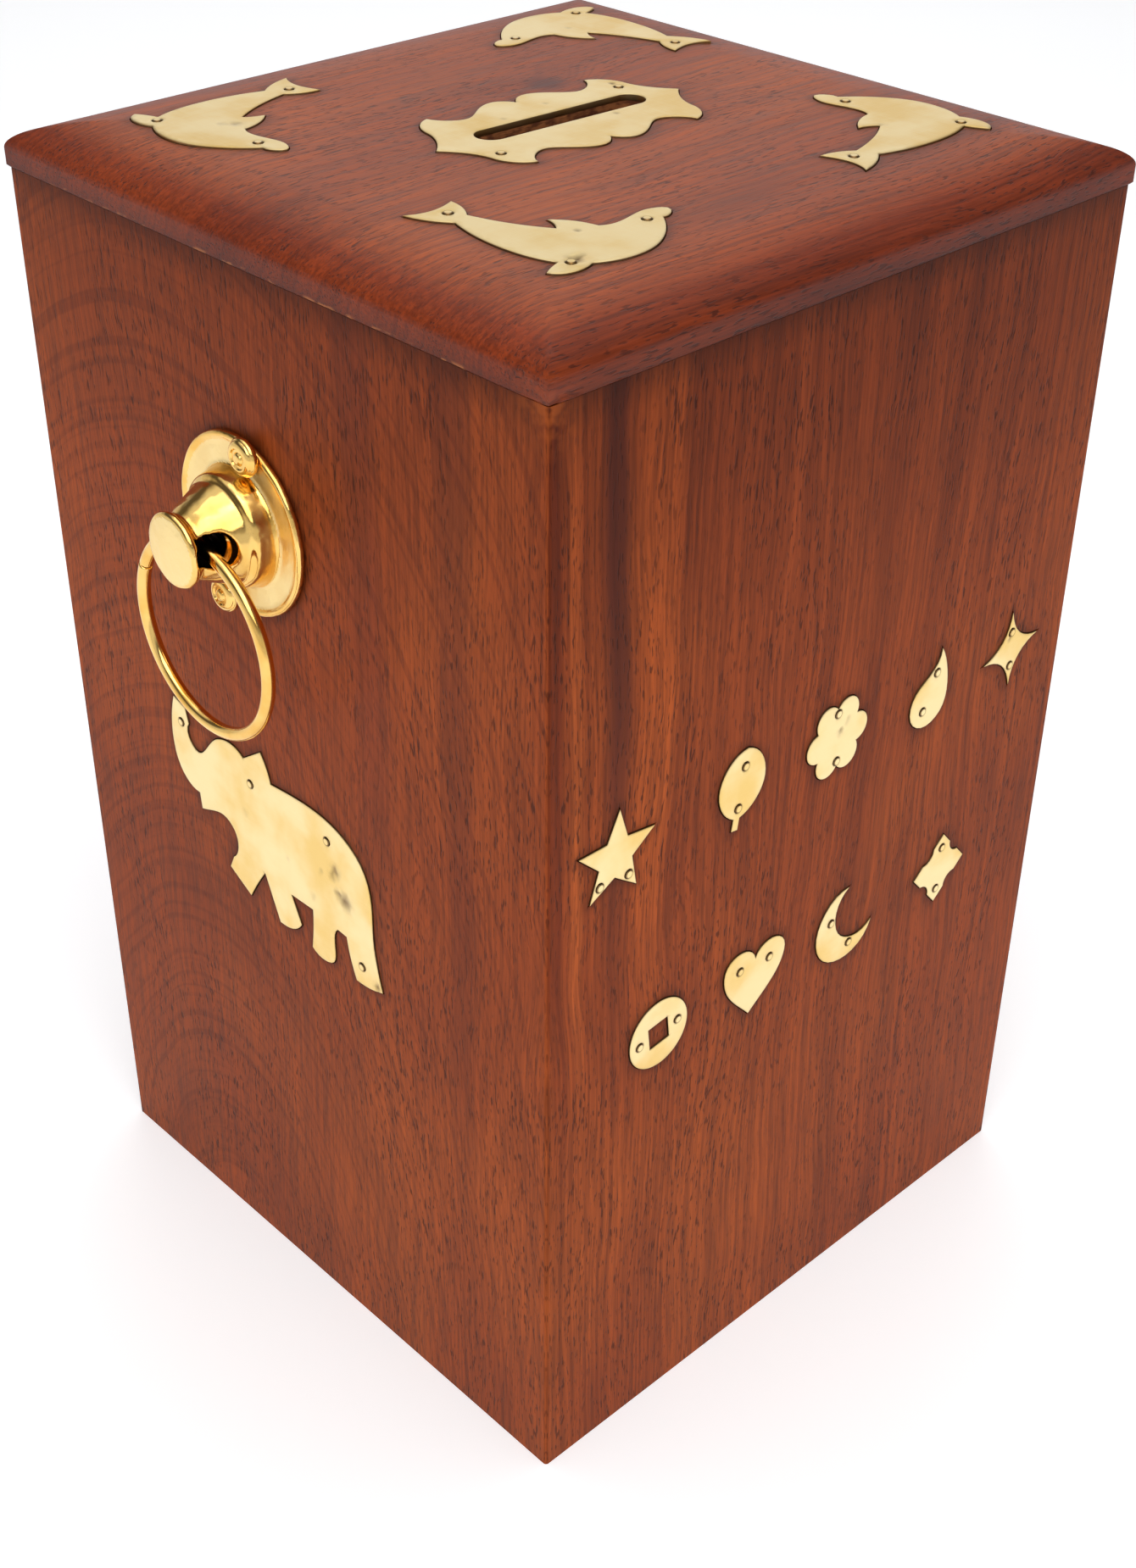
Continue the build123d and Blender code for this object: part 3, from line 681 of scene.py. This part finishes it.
# a box round the coin slot, inside which the lid's wood is raw
SLOT_X, SLOT_HALF_X = 2 * MM, 19 * MM
SLOT_Y, SLOT_HALF_Y = 4 * MM, 4 * MM
SLOT_BELOW = 0.3 * MM


def brass_outline_points():
    """Points all along the outlines of the inlays and the round flanges, in the frame's metres."""
    points = []
    for node, side in INLAY_SIDE.items():
        top = max(side.local(corner).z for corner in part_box(node))
        for loop in outlines_on(node, side, round(top, 7)):
            points += [side.world(*point) for point in refined(loop, 0.4 * MM)]
    for side_name, side in (("left", LEFT), ("right", RIGHT)):
        low, high = (side.local(corner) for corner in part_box(side_name + "_pull_boss"))
        centre = (low + high) / 2
        radius = abs(high.y - low.y) / 2
        for step in range(FLANGE_POINTS):
            turn = math.tau * step / FLANGE_POINTS
            x = centre.x + radius * math.cos(turn)
            y = centre.y + radius * math.sin(turn)
            points.append(side.world(x, y))
    return points


def cut_grid(shape, axis, positions):
    """Cut every face of the shape by planes across one axis."""
    normal = Vector((0, 0, 0))
    normal[axis] = 1.0
    for position in positions:
        geometry = shape.verts[:] + shape.edges[:] + shape.faces[:]
        plane = normal * position
        bmesh.ops.bisect_plane(shape, geom=geometry, dist=WELD, plane_co=plane, plane_no=normal)


def steps(low, high, step):
    """Evenly spaced places between two ends, without the ends."""
    count = max(1, round((high - low) / step))
    return [low + (high - low) * i / count for i in range(1, count)]


def refill_flat(shape, side, brass, step):
    """Replace the side's outer flat by small triangles, finer beside the brass."""
    def on_flat(vertex):
        return abs(side.local(vertex.co).z) < ON_PLANE

    flat = [face for face in shape.faces if all(on_flat(vertex) for vertex in face.verts)]
    bmesh.ops.delete(shape, geom=flat, context="FACES_KEEP_BOUNDARY")
    rim = [edge for edge in shape.edges if edge.is_boundary and all(on_flat(v) for v in edge.verts)]
    corners = list(dict.fromkeys(vertex for edge in rim for vertex in edge.verts))
    index_of = {vertex: index for index, vertex in enumerate(corners)}
    points = [side.local(vertex.co).to_2d() for vertex in corners]
    edges = [tuple(index_of[vertex] for vertex in edge.verts) for edge in rim]
    border = nearest_tree(points)

    inner = []
    for spacing, beside_brass in ((FINE_STEP, True), (step, False)):
        for point in grid_points(*extent(points), spacing):
            near = brass.find(side.world(*point))[2] < FINE_REACH
            if near == beside_brass and border.find((*point, 0))[2] > 0.4 * spacing:
                inner.append(point)
    placed, triangles, sources = fill_outlines(points, edges, inner)
    vertices = {}
    for triangle in triangles:
        for index in triangle:
            if index not in vertices:
                if sources[index] < len(points):
                    vertices[index] = corners[sources[index]]
                else:
                    vertices[index] = shape.verts.new(side.world(*placed[index]))
        shape.faces.new([vertices[index] for index in triangle])


def marked(shape, *names):
    """New values at the vertices, for the materials to read."""
    return [shape.verts.layers.float.new(name) for name in names]


def wear_and_shade_on_wall(shape, brass):
    """Dark filler and painted shade beside the brass, painted shade beside the lid's joint and the corner
    that is chipped.
    """
    near_brass, near_seam, chipped = marked(shape, "near_brass", "near_seam", "chipped")
    for vertex in shape.verts:
        place = vertex.co
        ragged = 1 + 0.5 * noise.noise(place / (7 * MM))
        distance = brass.find(place)[2]
        # dark filler and painted shade beside the brass
        vertex[near_brass] = math.exp(-((distance / (FILLER_AND_SHADE_REACH * ragged)) ** 1.4))
        # painted shade along the lid's joint
        vertex[near_seam] = math.exp(-abs(place.z - WALL_TOP) / (SEAM_REACH * ragged))
        corner = (place - CHIPPED_CORNER).length
        vertex[chipped] = max(0.0, 1 - corner / (CHIP_REACH * ragged))


def wear_and_shade_on_lid(shape):
    """The lid's worn lower edge, painted shade on the roundover, raw slot and bitten corner."""
    worn, rounded, sawn = marked(shape, "worn", "rounded", "sawn")
    for vertex in shape.verts:
        place = vertex.co
        below = LID_TOP - place.z
        on_left = place.x < WALL_LEFT - 0.1 * MM and abs(place.y) < WORN_HALF_LENGTH
        if on_left and abs(place.z - WALL_TOP) < WORN_SEAM:
            vertex[worn] = 1.0
        # painted shade on the roundover
        if max(abs(place.x), abs(place.y)) > LID_HALF - ROUNDOVER_WIDTH:
            vertex[rounded] = min(1.0, below / ROUNDOVER_FADE)
        in_slot = abs(place.x - SLOT_X) < SLOT_HALF_X and abs(place.y - SLOT_Y) < SLOT_HALF_Y
        if in_slot and below > SLOT_BELOW:
            vertex[sawn] = 1.0
        corner = (place - CHIPPED_CORNER).length
        if corner < BITE_REACH:
            bite = abs(noise.noise(place / BITE_GRAIN)) * (1 - corner / BITE_REACH)
            outward = Vector((place.x, place.y, 0)).normalized()
            vertex.co -= outward * bite * BITE_DEPTH


def board_piece(node, side, brass, material, step=3 * MM, pitch=4 * MM):
    """A board copied from the CAD, with small faces that carry dark filler, painted shade and wear."""
    low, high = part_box(node)
    shape = welded_copy(node)
    bmesh.ops.dissolve_limit(shape, angle_limit=FLAT_ANGLE, verts=shape.verts, edges=shape.edges)
    for axis in range(3):
        if high[axis] - low[axis] > 20 * MM:
            cut_grid(shape, axis, steps(low[axis], high[axis], pitch))
    cut_grid(shape, 2, SEAM_CUTS)
    refill_flat(shape, side, brass, step)
    bmesh.ops.recalc_face_normals(shape, faces=shape.faces)
    wear_and_shade_on_wall(shape, brass)
    if node == "lid_board":
        wear_and_shade_on_lid(shape)
    smooth_by_angle(shape)
    new_piece(node + "_wood", to_mesh(shape, node + "_wood"), node, material)


# ---------------------------------------------------------------- ring pulls

CAST_VOXEL = 0.28 * MM
CAST_UNEVENNESS = 0.06 * MM
CAST_GRAIN = 3.2 * MM
DISH_INNER = 10 * MM
DISH_OUTER = 13.6 * MM
DISH_HEIGHT = 1.7 * MM
TIP_RADIUS = 5.4 * MM
TIP_HEIGHT = 13.5 * MM

# the bore that the ring hangs in runs along Y
BORE_X = 72.0 * MM
BORE_Z = 159.3 * MM
BORE_RADIUS = 2.7 * MM
# how far the painted shade reaches out of the bore
BORE_SHADE_FADE = 0.25 * MM


def softened(shape, name):
    """The shape remade as one even skin with its arrises worn soft."""
    block = link(name, to_mesh(shape, name + "_block"))
    remesh = block.modifiers.new("skin", "REMESH")
    remesh.mode = "VOXEL"
    remesh.voxel_size = CAST_VOXEL
    soften = block.modifiers.new("wear", "SMOOTH")
    soften.factor = 0.5
    soften.iterations = 4
    depsgraph = bpy.context.evaluated_depsgraph_get()
    mesh = bpy.data.meshes.new_from_object(block.evaluated_get(depsgraph))
    bpy.data.objects.remove(block)
    mesh.name = name
    return mesh


def cast_piece(node, side, centre, material):
    """A casting: soft arrises, a slightly uneven skin, rough places and painted shade in the bore."""
    mesh = softened(welded_copy(node), node + "_casting")
    mesh.materials.clear()
    for name in ("rough_cast", "bore_shade"):
        mesh.attributes.new(name, "FLOAT", "POINT")
    # both are there before either is fetched, since adding one can move the other
    cast = mesh.attributes["rough_cast"].data
    bore_shade = mesh.attributes["bore_shade"].data
    # moving a vertex makes Blender work out every normal again, so they are read first
    normals = [vertex.normal.copy() for vertex in mesh.vertices]
    for vertex, normal in zip(mesh.vertices, normals):
        local = side.local(vertex.co)
        radius = math.hypot(local.x - centre.x, local.y - centre.y)
        dish = DISH_INNER < radius < DISH_OUTER and local.z < DISH_HEIGHT
        tip = radius < TIP_RADIUS and local.z > TIP_HEIGHT
        cast[vertex.index].value = 1.0 if dish or tip else 0.0
        # painted shade in and just round the bore
        outside = math.hypot(abs(vertex.co.x) - BORE_X, vertex.co.z - BORE_Z) - BORE_RADIUS
        bore_shade[vertex.index].value = min(1.0, max(0.0, 1 - outside / BORE_SHADE_FADE))
        push = noise.fractal(vertex.co / CAST_GRAIN, 1.0, 2.0, 3)
        vertex.co += normal * push * CAST_UNEVENNESS
    for polygon in mesh.polygons:
        polygon.use_smooth = True
    new_piece(node + "_casting", mesh, node, material)


# ---------------------------------------------------------------- build the object

brass_tree = nearest_tree(brass_outline_points())

SHEET_BRASS = satin_brass("sheet_brass")
BRIGHT_BRASS = polished_brass("bright_brass")
STEEL = plated_steel("plated_steel")
PINE = bare_wood("bare_pine", "XYZ", srgb(214, 178, 130), srgb(168, 120, 74))
PLY = bare_wood("bare_ply", "YXZ", srgb(206, 168, 122), srgb(160, 114, 72))

FRONT_STREAKS = [
    (-40 * MM, 4.6 * MM, srgb(176, 84, 34), 0.75, 60 * MM, 130 * MM),
    (-47.5 * MM, 2.8 * MM, srgb(72, 32, 26), 0.8, 60 * MM, 170 * MM),
    (-55.5 * MM, 1.6 * MM, srgb(180, 88, 38), 0.7, 60 * MM, 120 * MM),
    (-60 * MM, 2.5 * MM, srgb(96, 34, 18), 0.5, 40 * MM, 120 * MM),
    (-14 * MM, 1.8 * MM, srgb(170, 80, 36), 0.45, 120 * MM, 190 * MM),
]
LEFT_STREAKS = [
    (-23 * MM, 5 * MM, srgb(98, 44, 32), 0.4, 60 * MM, 150 * MM),
    (-42 * MM, 4 * MM, srgb(84, 38, 28), 0.4, 20 * MM, 120 * MM),
]
# painted shade: the walls darken towards the lid
FRONT_PAINTED_SHADE = (125 * MM, 205 * MM, 0.5)
WALL_PAINTED_SHADE = (140 * MM, 205 * MM, 0.3)
LEFT_ARCHES = (70 * MM, 110 * MM)
KNOT = (19 * MM, 13 * MM)

FRONT_WOOD = wood("front_rosewood", "XZY", pith=(150 * MM, 0), lean=0.02, rings=130.0,
                  streaks=FRONT_STREAKS, painted_top_shade=FRONT_PAINTED_SHADE)
LEFT_WOOD = wood("left_rosewood", "YZX", pith=(25 * MM, -40 * MM), lean=0.45, rings=52.0,
                 streaks=LEFT_STREAKS, painted_top_shade=WALL_PAINTED_SHADE, arches=LEFT_ARCHES)
RIGHT_WOOD = wood("right_rosewood", "YZX", pith=(-38 * MM, 260 * MM), lean=0.3, rings=90.0,
                  painted_top_shade=WALL_PAINTED_SHADE)
BACK_WOOD = wood("back_rosewood", "XZY", pith=(8 * MM, -90 * MM), lean=0.22, rings=90.0,
                 painted_top_shade=WALL_PAINTED_SHADE)
LID_WOOD = wood("lid_rosewood", "YXZ", pith=(-140 * MM, 0), lean=0.05, rings=90.0, knot=KNOT,
                gloss=0.22)

board_piece("front_board", FRONT, brass_tree, FRONT_WOOD)
board_piece("left_board", LEFT, brass_tree, LEFT_WOOD)
board_piece("right_board", RIGHT, brass_tree, RIGHT_WOOD)
board_piece("back_board", BACK, brass_tree, BACK_WOOD)
board_piece("lid_board", TOP, brass_tree, LID_WOOD, step=2.5 * MM, pitch=2 * MM)

for name in INLAY_SIDE:
    inlay_piece(name, SHEET_BRASS)

for name, side in (("top", TOP), ("front", FRONT), ("left", LEFT), ("right", RIGHT)):
    pins_piece(name + "_inlay_pins", side, SHEET_BRASS)

for side_name, side in (("left", LEFT), ("right", RIGHT)):
    low, high = (side.local(corner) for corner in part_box(side_name + "_pull_boss"))
    cast_piece(side_name + "_pull_boss", side, (low + high) / 2, BRIGHT_BRASS)

for name, node in NODES.items():
    if name.endswith(("_ring", "_nails")):
        node.material_slots[0].material = BRIGHT_BRASS
    elif name == "base_screws":
        node.material_slots[0].material = STEEL
    elif name == "base_board":
        node.material_slots[0].material = PLY
    elif name.startswith("corner_block"):
        node.material_slots[0].material = PINE


# ---------------------------------------------------------------- floor, light and camera

FLOOR_HALF = 6.0
FLOOR_GLOW = 0.24
BOX_MIDDLE = Vector((0, 0, 0.12))

# the surround is dim between these heights of the view's direction
PALE_BELOW, DIM_ABOVE = 0.16, 0.4
DIM_BELOW, PALE_ABOVE = 0.6, 0.85
HORIZON_LEVEL = 0.85

SENSOR_WIDTH = 36.0
FOCAL_LENGTH = 49.46
CAMERA_PLACE = Vector((-0.2303, -0.24139, 0.31023))
CAMERA_FORWARD = Vector((0.5736, 0.5977, -0.5601))
CAMERA_ROLL = math.radians(0.52)


def make_floor():
    """A wide pale floor with a faint glow, so that it comes out nearly white."""
    shape = bmesh.new()
    bmesh.ops.create_grid(shape, x_segments=8, y_segments=8, size=FLOOR_HALF)
    mesh = to_mesh(shape, "floor")
    g = Graph(bpy.data.materials.new("pale_floor"))
    cloud = g.stretched(g.position(), (3, 3, 3))
    mesh.materials.append(g.finish({
        "Base Color": g.mix(cloud, srgb(246, 246, 246), srgb(250, 250, 250)),
        "Roughness": 0.8,
        "Emission Color": (1.0, 1.0, 1.0, 1.0),
        "Emission Strength": FLOOR_GLOW,
    }))
    link("floor", mesh)


def make_softbox(name, direction, distance, size, power):
    """A square area light that faces the middle of the box from a direction."""
    light = bpy.data.lights.new(name, "AREA")
    light.shape = "SQUARE"
    light.size = size
    light.energy = power
    lamp = link(name, light)
    toward = Vector(direction).normalized()
    lamp.location = BOX_MIDDLE + toward * distance
    lamp.rotation_euler = toward.to_track_quat("Z", "Y").to_euler()


def make_world(dim, pale):
    """A studio surround, pale at the horizon and overhead, with a dim band between."""
    world = bpy.data.worlds.new("studio")
    bpy.context.scene.world = world
    g = Graph(world)
    direction = g.add("ShaderNodeTexCoord").outputs["Generated"]
    up = g.add("ShaderNodeSeparateXYZ", {0: direction}).outputs["Z"]
    overhead = g.span(up, DIM_BELOW, PALE_ABOVE)
    low_band = {"Value": up, "From Min": PALE_BELOW, "From Max": DIM_ABOVE}
    low_band.update({"To Min": HORIZON_LEVEL, "To Max": 0.0})
    horizon = g.add("ShaderNodeMapRange", low_band).outputs[0]
    colour = g.mix(g.math("MAXIMUM", overhead, horizon), dim, pale)
    background = g.add("ShaderNodeBackground", {"Color": colour, "Strength": 1.0})
    g.add("ShaderNodeOutputWorld", {0: background.outputs[0]})


def make_camera():
    """The photo's camera, as fitted to the box's edges."""
    camera = bpy.data.cameras.new("camera")
    camera.sensor_width = SENSOR_WIDTH
    camera.lens = FOCAL_LENGTH
    camera.clip_start = 0.01
    aim = CAMERA_FORWARD.to_track_quat("-Z", "Y").to_matrix() @ Matrix.Rotation(CAMERA_ROLL, 3, "Z")
    viewer = link("camera", camera)
    viewer.matrix_world = Matrix.Translation(CAMERA_PLACE) @ aim.to_4x4()
    bpy.context.scene.camera = viewer


make_floor()
make_softbox("key", (-0.42, -0.49, 0.77), distance=1.1, size=0.9, power=5.9)
make_softbox("rim", (0.57, 0.6, 0.56), distance=1.1, size=0.8, power=1.15)
make_softbox("overhead", (0.0, 0.0, 1.0), distance=1.4, size=1.2, power=4.5)
make_world(dim=srgb(92, 88, 86), pale=srgb(236, 238, 242))
make_camera()
bpy.context.scene.view_settings.view_transform = "Standard"

bpy.context.view_layer.update()
